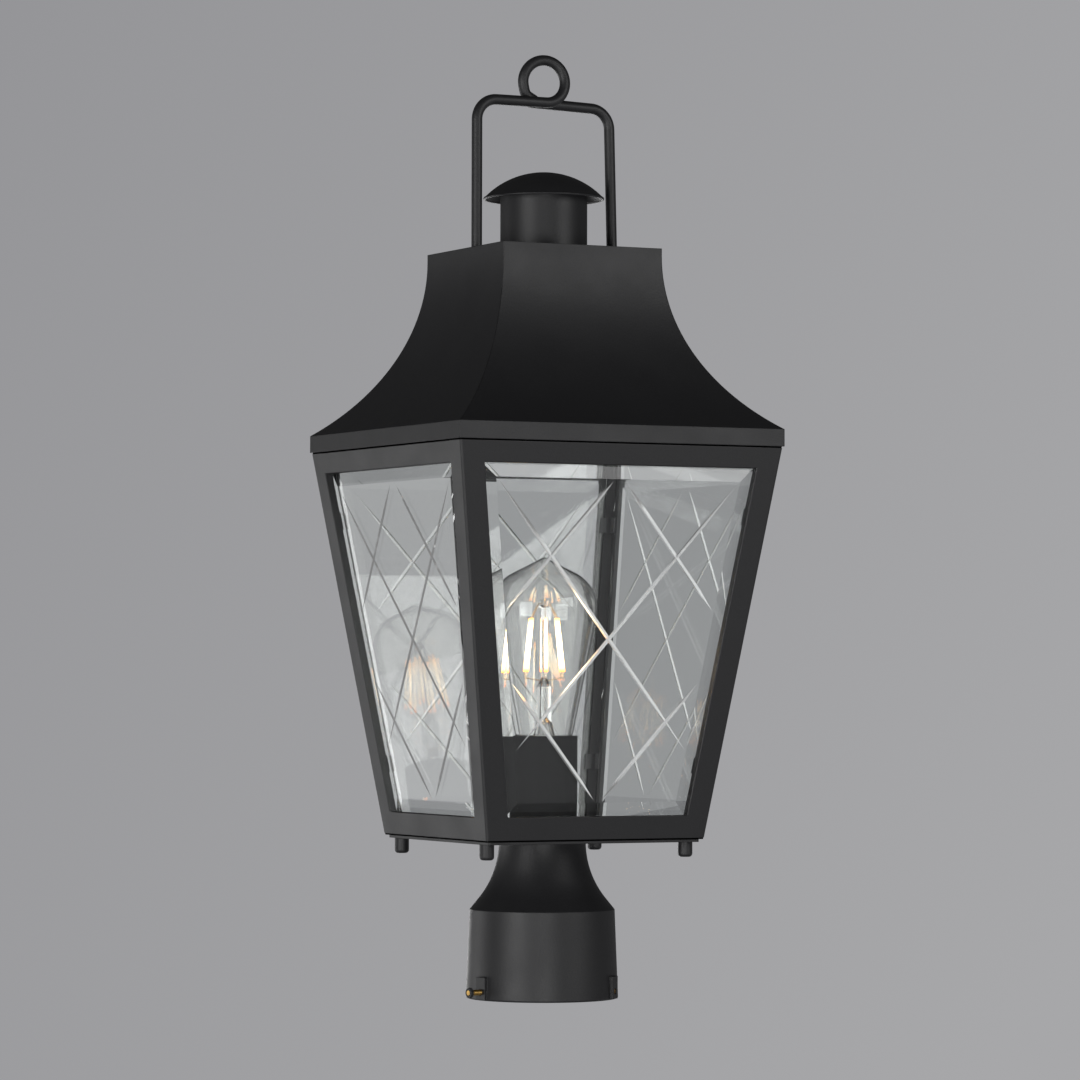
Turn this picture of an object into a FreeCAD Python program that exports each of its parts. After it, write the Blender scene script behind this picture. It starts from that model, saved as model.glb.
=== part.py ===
"""Post top lantern: a tapered glazed cage under a flared roof, on a fitter that
slips over a 3 inch lamp post.  Millimetres, +Z up, the origin at the centre of
the fitter's open foot, the front pane facing -Y.

Every horizontal slice of the cage is a square.  A "depth" is measured inwards,
level, from the cage's sloping outer face, and a "reach" inwards from its corner.
"""
import FreeCAD, Part
import math
import os

Vec = FreeCAD.Vector
UP = Vec(0, 0, 1)

# --- post fitter -----------------------------------------------------------
post_diameter = 76.2
bore_radius = post_diameter / 2 + 0.4
bore_length = 47.5
foot_radius = 43.0
foot_round = 1.0
shoulder_radius = 41.0
shoulder_z = 50.0
neck_radius = 24.6
neck_top_z = 89.2
neck_wall = 3.5
bell_radius = 50.0
bell_sweep = 38.0
bell_wall = 3.0
bell_centre_z = neck_top_z - 1.2

# --- set screws that clamp the post ----------------------------------------
set_screw_angles = (-78.0, 42.0, 162.0)   # from the front, towards +X
set_screw_z = 4.8
set_screw_radius = 1.65
set_screw_tip = bore_radius + 0.3
set_screw_head_from = 50.6
set_screw_head_radius = 3.35
set_screw_head_height = 2.6
sunk_screw_end = 43.9
slot_width = 0.9
slot_depth = 1.1
boss_width = 8.0
boss_face = 44.2
boss_low_z = 0.6
boss_high_z = 13.2
running_gap = 0.05

# --- base plate and what fixes it ------------------------------------------
plate_half = 65.6
plate_thickness = 1.6
plate_corner_radius = 1.5
plate_top_z = neck_top_z + plate_thickness
nipple_radius = 4.9
nipple_bore = 3.6
nipple_hole = 5.1
nipple_low_z = 79.5
nipple_high_z = 104.0
lock_nut_flats = 14.0
lock_nut_height = 3.6
strap_length = 80.0
strap_width = 16.0
strap_thickness = 1.8
strap_angle = 36.6
strap_top_z = plate_top_z + strap_thickness
strap_screw_reach = 33.0
strap_screw_radius = 1.9
strap_screw_high_z = 97.5
pan_head_radius = 4.2
pan_head_height = 2.1
strap_nut_flats = 7.0
strap_nut_height = 3.0

# --- cage ------------------------------------------------------------------
cage_low_z = plate_top_z
cage_high_z = 310.0
cage_low_half = 67.6
cage_high_half = 99.8
taper = (cage_high_half - cage_low_half) / (cage_high_z - cage_low_z)
sheet = 1.2
member_width = 14.0
corner_round = 1.5
edge_round = 0.6
lip_depth = 4.4
flange_depth = 12.0
flange_thickness = 1.5
shadow_gap = 0.9
opening_low_z = 104.4
opening_high_z = 297.4
stud_x = 61.8
stud_y = 55.6
stud_radius = 2.0
stud_low_z = 83.0
stud_hole = 2.4

# --- cap nuts under the plate ----------------------------------------------
cap_nut_radius = 4.05
cap_nut_height = 8.6
cap_nut_round = 1.9
cap_nut_bore_depth = 6.8

# --- glass -----------------------------------------------------------------
pane_overlap = 3.0
pane_thickness = 4.4
bevel_width = 10.5
bevel_drop = 2.2
seat_gap = 0.02
cut_angle = 40.5
cut_half_width = 1.15
cut_depth = 0.8
cut_margin = 1.2
cut_taper = 0.16
clip_height = 9.0
clip_thickness = 0.8

# --- roof ------------------------------------------------------------------
rim_half = 100.3
rim_height = 9.6
roof_top_half = 49.6
roof_top_z = 422.5
roof_straight = 4.5
roof_flange = 12.0
roof_screw_depth = 8.0
roof_screw_radius = 1.5
roof_screw_head_radius = 2.9
roof_screw_head_height = 1.8
roof_screw_length = 5.0

# --- chimney ---------------------------------------------------------------
chimney_radius = 24.7
cap_rim_radius = 34.7
cap_rim_z = 452.2
cap_apex_z = 467.6
cap_sheet = 1.0
cap_bead = 0.75
tie_radius = 1.5
tie_low_z = 412.0
washer_radius = 7.0
washer_thickness = 1.2
small_nut_flats = 5.5
small_nut_height = 2.4

# --- rod handle ------------------------------------------------------------
rod_radius = 3.0
handle_half = 44.1
handle_foot_splay = 1.5
handle_bend = 11.9
handle_arm_z = 507.2
loop_radius = 12.2
loop_offset = 3.05
arm_droop = 1.8
handle_thread_length = 9.0

# --- lamp socket -----------------------------------------------------------
sleeve_radius = 19.05
sleeve_wall = 1.0
sleeve_low_z = strap_top_z + lock_nut_height
sleeve_top_z = 148.2
sleeve_floor = 1.2
socket_radius = 17.6
socket_top_z = 140.0
socket_bore = 13.8
socket_floor_z = 111.0
shell_inner = 13.35
shell_wall = 0.4

# --- bulb ------------------------------------------------------------------
bulb_tip_z = 112.6
bulb_cap_z = 117.5
bulb_neck_z = 139.0
bulb_radius = 29.8
bulb_widest_z = 221.0
bulb_top_z = 249.3
bulb_wall = 0.8
filament_count = 6
filament_phase = 10.0
filament_radius = 0.9
filament_low = (12.0, 184.5)
filament_high = (8.4, 214.5)
wire_radius = 0.3


# --- drawing helpers -------------------------------------------------------
def polar(centre, radius, degrees):
    angle = math.radians(degrees)
    return (centre[0] + radius * math.cos(angle), centre[1] + radius * math.sin(angle))


def outline(start, *steps, place=lambda p: Vec(p[0], 0, p[1])):
    """Closed face.  A step is a point, or (point on an arc, the arc's end)."""
    edges = []
    here = start
    for step in steps + (start,):
        through, end = step if isinstance(step[0], tuple) else (None, step)
        if through:
            edges.append(Part.Arc(place(here), place(through), place(end)).toShape())
        elif (place(end) - place(here)).Length > 1e-6:
            edges.append(Part.LineSegment(place(here), place(end)).toShape())
        here = end
    return Part.Face(Part.Wire(edges))


def turned(start, *steps):
    """Solid of revolution about Z from a radius-height outline."""
    return outline(start, *steps).revolve(Vec(0, 0, 0), UP, 360)


def level(start, *steps, z=0.0):
    """Face in a level plane."""
    return outline(start, *steps, place=lambda p: Vec(p[0], p[1], z))


def rod(start, end, radius):
    return Part.makeCylinder(radius, (end - start).Length, start, end - start)


def spun(shape, degrees):
    """Copy turned about the lantern's axis."""
    copy = shape.copy()
    copy.rotate(Vec(0, 0, 0), UP, degrees)
    return copy


def hex_nut(flats, height, bore, low_z, x=0.0, y=0.0):
    """Hexagon nut with two flats square to X."""
    corner = flats / math.sqrt(3)
    points = [polar((x, y), corner, 30 + 60 * k) for k in range(6)]
    body = level(*points, z=low_z).extrude(UP * height)
    return body.cut(Part.makeCylinder(bore, height, Vec(x, y, low_z)))


def bearing(degrees, reach=1.0):
    """Level point at an angle from the front (-Y) towards +X."""
    angle = math.radians(degrees)
    return Vec(reach * math.sin(angle), -reach * math.cos(angle), 0)


def half_at(z):
    """Half width of the cage's outer square at a height."""
    return cage_low_half + taper * (z - cage_low_z)


# --- base ------------------------------------------------------------------
def fitter_casting():
    """Drafted skirt, shoulder and concave bell neck, hollow inside."""
    bell = (neck_radius + bell_radius, bell_centre_z)
    inner = bell_radius + bell_wall
    ceiling_z = neck_top_z - neck_wall
    start_angle = math.degrees(math.asin((bell_centre_z - ceiling_z) / inner))
    return turned(
        (bore_radius, 0),
        (foot_radius - foot_round, 0),
        (polar((foot_radius - foot_round, foot_round), foot_round, -45), (foot_radius, foot_round)),
        (shoulder_radius, shoulder_z),
        polar(bell, bell_radius, 180 + bell_sweep),
        (polar(bell, bell_radius, 180 + bell_sweep / 2), polar(bell, bell_radius, 180)),
        (neck_radius, neck_top_z),
        (nipple_hole, neck_top_z),
        (nipple_hole, ceiling_z),
        polar(bell, inner, 180 + start_angle),
        (polar(bell, inner, 180 + bell_sweep / 2), polar(bell, inner, 180 + bell_sweep)),
        (bore_radius, bore_length))


def screw_boss():
    """Flat pad for a set screw, on the -Y side."""
    depth = boss_face - bore_radius - 1.0
    return Part.makeBox(boss_width, depth, boss_high_z - boss_low_z,
                        Vec(-boss_width / 2, -boss_face, boss_low_z))


def post_fitter():
    body = fitter_casting()
    for angle in set_screw_angles:
        body = body.fuse(spun(screw_boss(), angle))
    for angle in set_screw_angles:
        middle = Vec(0, 0, set_screw_z)
        hole = rod(middle + bearing(angle, bore_radius - 3), middle + bearing(angle, boss_face + 3),
                   set_screw_radius + running_gap)
        body = body.cut(hole)
    return body


def set_screw(angle):
    """Slotted clamp screw with its tip just short of the bore."""
    middle = Vec(0, 0, set_screw_z)
    head_end = set_screw_head_from + set_screw_head_height
    shank = rod(middle + bearing(angle, set_screw_tip),
                middle + bearing(angle, set_screw_head_from), set_screw_radius)
    head = rod(middle + bearing(angle, set_screw_head_from),
               middle + bearing(angle, head_end), set_screw_head_radius)
    rim = [e for e in head.Edges if e.Curve.TypeId == "Part::GeomCircle"]
    head = head.makeChamfer(0.35, rim)
    slot = Part.makeBox(slot_width, slot_depth, 4 * set_screw_head_radius,
                        Vec(-slot_width / 2, -head_end, set_screw_z - 2 * set_screw_head_radius))
    return shank.fuse(head).cut(spun(slot, angle))


def sunk_screw(angle):
    """Short headless clamp screw, sunk just below its boss's face."""
    middle = Vec(0, 0, set_screw_z)
    body = rod(middle + bearing(angle, set_screw_tip), middle + bearing(angle, sunk_screw_end),
               set_screw_radius)
    slot = Part.makeBox(slot_width, slot_depth, 4 * set_screw_radius,
                        Vec(-slot_width / 2, -sunk_screw_end, set_screw_z - 2 * set_screw_radius))
    return body.cut(spun(slot, angle))


def strap_points():
    angle = math.radians(strap_angle)
    for side in (-1, 1):
        yield (side * strap_screw_reach * math.cos(angle), side * strap_screw_reach * math.sin(angle))


def stud_points():
    return [(sx * stud_x, sy * stud_y) for sx in (-1, 1) for sy in (-1, 1)]


def base_plate():
    """Square sheet between the fitter's neck and the cage."""
    edge = 2 * plate_half
    plate = Part.makeBox(edge, edge, plate_thickness, Vec(-plate_half, -plate_half, neck_top_z))
    corners = [e for e in plate.Edges if abs(e.tangentAt(e.FirstParameter).z) > 0.9]
    plate = plate.makeFillet(plate_corner_radius, corners)
    holes = [(0, 0, nipple_hole)]
    holes += [(x, y, stud_hole) for x, y in stud_points()]
    holes += [(x, y, strap_screw_radius + 0.2) for x, y in strap_points()]
    for x, y, radius in holes:
        plate = plate.cut(Part.makeCylinder(radius, 4, Vec(x, y, neck_top_z - 1)))
    return plate


def socket_strap():
    """Flat bar on the plate that carries the socket."""
    bar = Part.makeBox(strap_length, strap_width, strap_thickness,
                       Vec(-strap_length / 2, -strap_width / 2, plate_top_z))
    bar = spun(bar, strap_angle)
    bar = bar.cut(Part.makeCylinder(nipple_hole, 5, Vec(0, 0, plate_top_z - 1)))
    for x, y in strap_points():
        bar = bar.cut(Part.makeCylinder(strap_screw_radius + 0.2, 5, Vec(x, y, plate_top_z - 1)))
    return bar


def strap_screw(x, y):
    """Pan-head screw up through the plate and the strap."""
    screw = turned((0, -pan_head_height), (pan_head_radius * 0.72, -pan_head_height),
                   (polar((pan_head_radius * 0.6, 0), pan_head_radius * 0.55, -35),
                    (pan_head_radius, -0.5)),
                   (pan_head_radius, 0), (strap_screw_radius, 0),
                   (strap_screw_radius, strap_screw_high_z - neck_top_z),
                   (0, strap_screw_high_z - neck_top_z))
    screw.translate(Vec(x, y, neck_top_z))
    return screw


def nipple():
    """Threaded wire tube that ties fitter, plate, strap and socket together."""
    return turned((nipple_bore, nipple_low_z), (nipple_radius, nipple_low_z),
                  (nipple_radius, nipple_high_z), (nipple_bore, nipple_high_z))


# --- cage ------------------------------------------------------------------
def slant(from_z, to_z):
    """Way from one height to another along the +X +Y corner."""
    rise = to_z - from_z
    return Vec(taper * rise, taper * rise, rise)


def post_section(z, rounded):
    """L of folded sheet with a lip at each end, for the +X +Y corner."""
    h = half_at(z)
    end = h - member_width
    lip = h - lip_depth
    inside = h - sheet
    turn = end + sheet
    nick = edge_round
    arc = polar((h - corner_round, h - corner_round), corner_round, 45)
    start = (end, h)
    low_edge = [(h, end)]
    far_edge = [(end, h)]
    if rounded:
        start = (end + nick, h)
        low_edge = [(h, end + nick), (polar((h - nick, end + nick), nick, -45), (h - nick, end))]
        far_edge = [(end, h - nick), (polar((end + nick, h - nick), nick, 135), start)]
    return level(start, (h - corner_round, h), (arc, (h, h - corner_round)), *low_edge,
                 (lip, end), (lip, turn), (inside, turn), (inside, inside), (turn, inside),
                 (turn, lip), (end, lip), *far_edge, z=z)


def gusset(from_z, to_z):
    """Corner web that closes the end of a post."""
    h = half_at(from_z)
    low, high = h - member_width, h - sheet / 2
    return level((low, low), (high, low), (high, high), (low, high), z=from_z).extrude(
        slant(from_z, to_z))


def corner_post():
    """Post with square edges where the rails meet it and rounded ones beside the glass."""
    levels = (cage_low_z + shadow_gap, opening_low_z, opening_high_z, cage_high_z - shadow_gap)
    low, middle, high = [
        post_section(from_z, rounded).extrude(slant(from_z, to_z))
        for from_z, to_z, rounded in zip(levels, levels[1:], (False, True, False))]
    foot = gusset(cage_low_z, cage_low_z + flange_thickness)
    head = gusset(cage_high_z - flange_thickness, cage_high_z)
    return middle.fuse([low, high, foot, head]).removeSplitter()


def rail_space():
    """Everything between the two posts of the front face."""
    low_z, high_z = cage_low_z - 1, cage_high_z + 1
    low, high = half_at(low_z) - member_width, half_at(high_z) - member_width
    face = outline((-low, low_z), (low, low_z), (high, high_z), (-high, high_z))
    face.translate(Vec(0, -2 * rim_half, 0))
    return face.extrude(Vec(0, 4 * rim_half, 0))


def rail(opening_z, flange_z, inward):
    """Folded channel: web, lip at the opening and flange at the cage's end."""
    step = inward
    lip_z = opening_z - step * sheet
    inner_z = flange_z + step * flange_thickness
    bend_z = flange_z + step * sheet
    nick = edge_round

    def place(point):
        depth, z = point
        return Vec(-2 * rim_half, depth - half_at(z), z)

    bend = (sheet - sheet * math.cos(math.pi / 4), bend_z - step * sheet * math.sin(math.pi / 4))
    corner = (nick - nick * math.cos(math.pi / 4), opening_z - step * nick * (1 - math.sin(math.pi / 4)))
    face = outline((sheet, flange_z), (bend, (0, bend_z)), (0, opening_z - step * nick),
                   (corner, (nick, opening_z)), (lip_depth, opening_z), (lip_depth, lip_z),
                   (sheet, lip_z), (sheet, inner_z), (flange_depth, inner_z),
                   (flange_depth, flange_z), place=place)
    return face.extrude(Vec(4 * rim_half, 0, 0)).common(rail_space())


def bottom_rail():
    return rail(opening_low_z, cage_low_z, 1)


def top_rail():
    bar = rail(opening_high_z, cage_high_z, -1)
    x, y = 0, -(cage_high_half - roof_screw_depth)
    hole = Part.makeCylinder(roof_screw_radius + running_gap, 8, Vec(x, y, cage_high_z - 4))
    return bar.cut(hole)


# --- glass -----------------------------------------------------------------
def on_pane(x, z, depth):
    return Vec(x, depth - half_at(z), z)


def pane_half(z, inset):
    return half_at(z) - member_width + pane_overlap - inset


def pane_ring(inset, depth):
    low_z = opening_low_z - pane_overlap + inset
    high_z = opening_high_z + pane_overlap - inset
    low, high = pane_half(low_z, inset), pane_half(high_z, inset)
    return [on_pane(-low, low_z, depth), on_pane(low, low_z, depth),
            on_pane(high, high_z, depth), on_pane(-high, high_z, depth)]


def polyhedron(faces):
    return Part.Solid(Part.Shell([Part.Face(Part.makePolygon(f + [f[0]])) for f in faces]))


def pane_depths():
    """Depths of the pane's raised face, of its edge and of its back."""
    rise_at_lip = bevel_drop * pane_overlap / bevel_width
    edge = lip_depth + rise_at_lip + seat_gap
    face = edge - bevel_drop
    return face, edge, face + pane_thickness


def bevelled_blank():
    face_depth, edge_depth, back_depth = pane_depths()
    raised = pane_ring(bevel_width, face_depth)
    edge = pane_ring(0, edge_depth)
    back = pane_ring(0, back_depth)
    faces = [raised, back[::-1]]
    for k in range(4):
        n = (k + 1) % 4
        faces.append([edge[k], edge[n], raised[n], raised[k]])
        faces.append([back[k], back[n], edge[n], edge[k]])
    return polyhedron(faces)


def wheel_cut(start, end):
    """V-groove in the raised face that runs out to a point at both ends."""
    face_depth = pane_depths()[0]
    dx, dz = end[0] - start[0], end[1] - start[1]
    length = math.hypot(dx, dz)
    side = (dz / length, -dx / length)
    above = 0.4
    spread = cut_half_width * (1 + above / cut_depth)
    sections = []
    for share in (cut_taper, 1 - cut_taper):
        x, z = start[0] + share * dx, start[1] + share * dz
        sections.append([
            on_pane(x + side[0] * spread, z + side[1] * spread, face_depth - above),
            on_pane(x - side[0] * spread, z - side[1] * spread, face_depth - above),
            on_pane(x, z, face_depth + cut_depth)])
    near, far = sections
    tip, toe = on_pane(*start, face_depth), on_pane(*end, face_depth)
    faces = []
    for k in range(3):
        n = (k + 1) % 3
        faces.append([tip, near[k], near[n]])
        faces.append([near[n], near[k], far[k]])
        faces.append([near[n], far[k], far[n]])
        faces.append([toe, far[n], far[k]])
    return polyhedron(faces)


def cut_lines():
    """Lattice of three pairs: corner to side, top middle to side, side to bottom middle."""
    slope = math.tan(math.radians(cut_angle))
    inset = bevel_width + cut_margin
    top_z = opening_high_z + pane_overlap - inset
    low_z = opening_low_z - pane_overlap + inset
    top_half = pane_half(top_z, inset)

    def side_z(x, z, heading):
        """Height where a line that comes down from (x, z) meets the pane's side."""
        return (heading * x + slope * z - pane_half(0, inset)) / (slope + taper)

    lines = []
    for heading in (1, -1):
        for x in (-heading * top_half, heading * 3 * cut_half_width):
            z = side_z(x, top_z, heading)
            lines.append(((x, top_z), (heading * pane_half(z, inset), z)))
        foot = heading * 2 * cut_half_width
        z = (pane_half(0, inset) - abs(foot) + slope * low_z) / (slope - taper)
        lines.append(((heading * pane_half(z, inset), z), (foot, low_z)))
    return lines


def glass_pane():
    pane = bevelled_blank()
    for start, end in cut_lines():
        pane = pane.cut(wheel_cut(start, end))
    return pane


def glass_clip(z):
    """Z-shaped sheet finger behind a pane's edge, for one leg of the +X +Y post."""
    h = half_at(z)
    back = h - pane_depths()[2] - seat_gap
    t = clip_thickness
    foot = h - sheet
    reach = h - 4.0
    riser = h - 9.4
    finger = h - 13.8
    face = level((reach, foot), (riser - t, foot), (riser - t, back), (finger, back),
                 (finger, back - t), (riser, back - t), (riser, foot - t), (reach, foot - t), z=z)
    return face.extrude(slant(z, z + clip_height))


def glass_clips():
    height = opening_high_z - opening_low_z
    clips = []
    for share in (0.12, 0.84):
        one = glass_clip(opening_low_z + share * height)
        other = one.mirror(Vec(0, 0, 0), Vec(1, -1, 0))
        for quarter in range(4):
            clips += [spun(one, 90 * quarter), spun(other, 90 * quarter)]
    return Part.makeCompound(clips)


def cage_studs():
    length = cage_low_z - stud_low_z
    return Part.makeCompound([Part.makeCylinder(stud_radius, length, Vec(x, y, stud_low_z))
                              for x, y in stud_points()])


def cap_nut(x, y):
    """Blind cap nut with a rounded end."""
    low = -cap_nut_height
    r = cap_nut_radius
    c = cap_nut_round
    nut = turned((0, low), (r - c, low), (polar((r - c, low + c), c, -45), (r, low + c)), (r, 0),
                 (stud_radius + running_gap, 0), (stud_radius + running_gap, -cap_nut_bore_depth),
                 (0, -cap_nut_bore_depth))
    nut.translate(Vec(x, y, neck_top_z))
    return nut


# --- roof ------------------------------------------------------------------
def flared_block(inset, low_z):
    """Mitred square flare: where two equal flared bars cross at right angles."""
    flare_z = roof_top_z - roof_straight
    eave_z = cage_high_z + rim_height
    run = rim_half - roof_top_half
    drop = flare_z - eave_z
    radius = (run * run + drop * drop) / (2 * run)
    centre = (roof_top_half + radius, flare_z)
    eave = rim_half - inset
    top = roof_top_half - inset
    arc = radius + inset
    sweep = math.degrees(math.acos((centre[0] - eave) / arc))
    foot = polar(centre, arc, 180 + sweep)
    middle = polar(centre, arc, 180 + sweep / 2)

    def other(point):
        return (-point[0], point[1])

    face = outline((-eave, low_z), (eave, low_z), foot, (middle, (top, flare_z)),
                   (top, roof_top_z - inset), (-top, roof_top_z - inset), (-top, flare_z),
                   (other(middle), other(foot)))
    face.translate(Vec(0, -rim_half * 2, 0))
    bar = face.extrude(Vec(0, rim_half * 4, 0))
    return bar.common(spun(bar, 90))


def roof_sheet():
    """Flared sheet roof with an upright rim and a return flange, open at the top."""
    shell = flared_block(0, cage_high_z).cut(flared_block(sheet, cage_high_z + sheet))
    mouth = 2 * (rim_half - roof_flange)
    shell = shell.cut(Part.makeBox(mouth, mouth, 4, Vec(-mouth / 2, -mouth / 2, cage_high_z - 1)))
    top = 2 * (roof_top_half - sheet)
    return shell.cut(Part.makeBox(top, top, 4, Vec(-top / 2, -top / 2, roof_top_z - 2)))


def roof_panel():
    """Front quarter of the roof, cut on the mitres, with its screw hole."""
    reach = 2 * rim_half
    wedge = level((0, 0), (-reach, -reach), (reach, -reach)).extrude(UP * 2 * roof_top_z)
    depth = cage_high_half - roof_screw_depth
    hole = Part.makeCylinder(roof_screw_radius + running_gap, 5, Vec(0, -depth, cage_high_z - 2))
    return roof_sheet().common(wedge).cut(hole)


def roof_top():
    """Square lid let in flush between the four panels."""
    edge = 2 * (roof_top_half - sheet)
    low_z = roof_top_z - sheet
    lid = Part.makeBox(edge, edge, sheet, Vec(-edge / 2, -edge / 2, low_z))
    holes = [(0, 0)]
    holes += [(side * handle_foot(side), side * loop_offset) for side in (-1, 1)]
    for x, y in holes:
        lid = lid.cut(Part.makeCylinder(tie_radius + 0.1, 5, Vec(x, y, low_z - 2)))
    return lid


def roof_screw():
    """Pan-head screw up through the front top rail into the roof's flange."""
    r, head = roof_screw_radius, roof_screw_head_radius
    screw = turned((0, -roof_screw_head_height), (head * 0.8, -roof_screw_head_height),
                   (head, -roof_screw_head_height * 0.4), (head, 0), (r, 0),
                   (r, roof_screw_length), (0, roof_screw_length))
    screw.translate(Vec(0, roof_screw_depth - cage_high_half, cage_high_z - flange_thickness))
    return screw


# --- chimney ---------------------------------------------------------------
def cap_sphere():
    """Centre height and outer radius of the dome."""
    rise = cap_apex_z - cap_rim_z
    radius = (cap_rim_radius ** 2 + rise ** 2) / (2 * rise)
    return cap_apex_z - radius, radius


def dome_underside(r):
    centre_z, radius = cap_sphere()
    return centre_z + math.sqrt((radius - cap_sheet) ** 2 - r * r)


def chimney_tube():
    top_z = dome_underside(chimney_radius)
    inner = chimney_radius - sheet
    return turned((inner, roof_top_z), (chimney_radius, roof_top_z), (chimney_radius, top_z),
                  (inner, top_z))


def chimney_cap():
    """Spun dome with a beaded rim."""
    centre_z, radius = cap_sphere()
    centre = (0, centre_z)
    rim = math.degrees(math.acos((cap_rim_radius - cap_bead) / radius))
    inner = radius - cap_sheet
    dome = turned(polar(centre, radius, rim), (polar(centre, radius, (rim + 90) / 2), (0, cap_apex_z)),
                  (0, cap_apex_z - cap_sheet),
                  (polar(centre, inner, (rim + 90) / 2), polar(centre, inner, rim)))
    middle = polar(centre, radius - cap_sheet / 2, rim)
    ring = Part.makeTorus(middle[0], cap_bead, Vec(0, 0, middle[1]), UP)
    return dome.fuse(ring)


def cap_tie():
    """Stud under the dome that holds cap and tube down on the roof."""
    return Part.makeCylinder(tie_radius, dome_underside(tie_radius) - tie_low_z - running_gap,
                             Vec(0, 0, tie_low_z))


def tie_washer():
    top_z = roof_top_z - sheet
    return turned((tie_radius + 0.2, top_z - washer_thickness), (washer_radius, top_z - washer_thickness),
                  (washer_radius, top_z), (tie_radius + 0.2, top_z))


# --- rod handle ------------------------------------------------------------
def handle_foot(side):
    """Distance of a leg's foot from the axis: the right one is splayed a little."""
    splay = handle_foot_splay if side > 0 else 0
    leg = handle_arm_z - handle_bend - roof_top_z
    return handle_half - 0.4 + leg * math.tan(math.radians(splay))


def bar_length(at, heading, length):
    """Straight stretch in a plane square to Y, and where it ends."""
    way = Vec(math.cos(math.radians(heading)), 0, math.sin(math.radians(heading)))
    end = at + way * length
    return rod(at, end, rod_radius), end


def bar_bend(at, heading, turn):
    """Bend of the rod: a positive turn is anticlockwise seen from the front."""
    sign = 1 if turn > 0 else -1
    to_centre = math.radians(heading + 90 * sign)
    centre = at + Vec(math.cos(to_centre), 0, math.sin(to_centre)) * handle_bend
    way = Vec(math.cos(math.radians(heading)), 0, math.sin(math.radians(heading)))
    section = Part.Face(Part.Wire(Part.makeCircle(rod_radius, at, way)))
    bend = section.revolve(centre, Vec(0, -1, 0), turn)
    arm = at - centre
    angle = math.radians(turn)
    end = centre + Vec(arm.x * math.cos(angle) - arm.z * math.sin(angle), 0,
                       arm.x * math.sin(angle) + arm.z * math.cos(angle))
    return bend, end


def loop_point(angle):
    """Centreline of the ring: it rises on the right and eases back by one rod."""
    share = angle / 360
    back = loop_offset * (2 * share * share * (3 - 2 * share) - 1)
    around = math.radians(angle)
    return Vec(loop_radius * math.sin(around), back,
               handle_arm_z + loop_radius * (1 - math.cos(around)))


def ring_loop():
    last = 360 - arm_droop
    count = 16
    curve = Part.BSplineCurve()
    droop = math.radians(arm_droop)
    curve.interpolate(Points=[loop_point(last * k / count) for k in range(count + 1)],
                      InitialTangent=Vec(1, 0, 0),
                      FinalTangent=Vec(math.cos(droop), 0, -math.sin(droop)))
    section = Part.Wire(Part.makeCircle(rod_radius, loop_point(0), Vec(1, 0, 0)))
    return Part.Wire(curve.toShape()).makePipeShell([section], True, False), loop_point(last)


def handle_rod():
    """One bent rod: left foot, up, across, once round the ring, across, down."""
    left = Vec(-handle_foot(-1), -loop_offset, roof_top_z)
    pieces = []

    def add(piece, end):
        pieces.append(piece)
        return end

    at = add(*bar_length(left, 90, handle_arm_z - handle_bend - roof_top_z))
    at = add(*bar_bend(at, 90, -90))
    at = add(*bar_length(at, 0, -at.x))
    at = add(*ring_loop())
    turn = 90 - arm_droop - handle_foot_splay
    leg_x = handle_half - 0.4
    at = add(*bar_length(at, -arm_droop, leg_x - handle_bend - at.x))
    at = add(*bar_bend(at, -arm_droop, -turn))
    heading = -90 + handle_foot_splay
    at = add(*bar_length(at, heading, (at.z - roof_top_z + 1) / math.cos(math.radians(handle_foot_splay))))
    body = pieces[0].fuse(pieces[1:])
    body = body.cut(Part.makeBox(120, 40, 10, Vec(-60, -20, roof_top_z - 10)))
    for side in (-1, 1):
        foot = Vec(side * handle_foot(side), side * loop_offset, roof_top_z - handle_thread_length)
        body = body.fuse(Part.makeCylinder(tie_radius, handle_thread_length + 2, foot))
    return body.removeSplitter()


def handle_nuts():
    low_z = roof_top_z - sheet - small_nut_height
    return Part.makeCompound([
        hex_nut(small_nut_flats, small_nut_height, tie_radius + running_gap, low_z,
                side * handle_foot(side), side * loop_offset) for side in (-1, 1)])


# --- lamp socket -----------------------------------------------------------
def socket_sleeve():
    inner = sleeve_radius - sleeve_wall
    floor_z = sleeve_low_z + sleeve_floor
    return turned((nipple_hole, sleeve_low_z), (sleeve_radius, sleeve_low_z),
                  (sleeve_radius, sleeve_top_z), (inner, sleeve_top_z), (inner, floor_z),
                  (nipple_hole, floor_z))


def socket_body():
    """Moulded insulator with a wiring cavity below and the lamp's bore above."""
    low_z = sleeve_low_z + sleeve_floor
    cavity = 9.0
    cavity_low_z = low_z + 3.6
    cavity_high_z = socket_floor_z - 3.0
    return turned((nipple_radius + running_gap, low_z), (socket_radius, low_z),
                  (socket_radius, socket_top_z), (socket_bore, socket_top_z),
                  (socket_bore, socket_floor_z), (0, socket_floor_z), (0, cavity_high_z),
                  (cavity, cavity_high_z), (cavity, cavity_low_z),
                  (nipple_radius + running_gap, cavity_low_z))


def socket_screw_shell():
    low_z = socket_floor_z + 2.0
    high_z = socket_top_z - 0.5
    outer = shell_inner + shell_wall
    return turned((shell_inner - 2, low_z), (outer, low_z), (outer, high_z), (shell_inner, high_z),
                  (shell_inner, low_z + shell_wall), (shell_inner - 2, low_z + shell_wall))


def socket_contact():
    """Spring tongue that the bulb's tip presses on."""
    z, t, width = socket_floor_z, 0.5, 6.0
    top_z = bulb_tip_z
    face = outline((-8, z), (-3, z), (0, top_z - t), (5, top_z - t), (5, top_z), (-0.4, top_z),
                   (-3.3, z + t), (-8, z + t))
    face.translate(Vec(0, -width / 2, 0))
    return face.extrude(Vec(0, width, 0))


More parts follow.
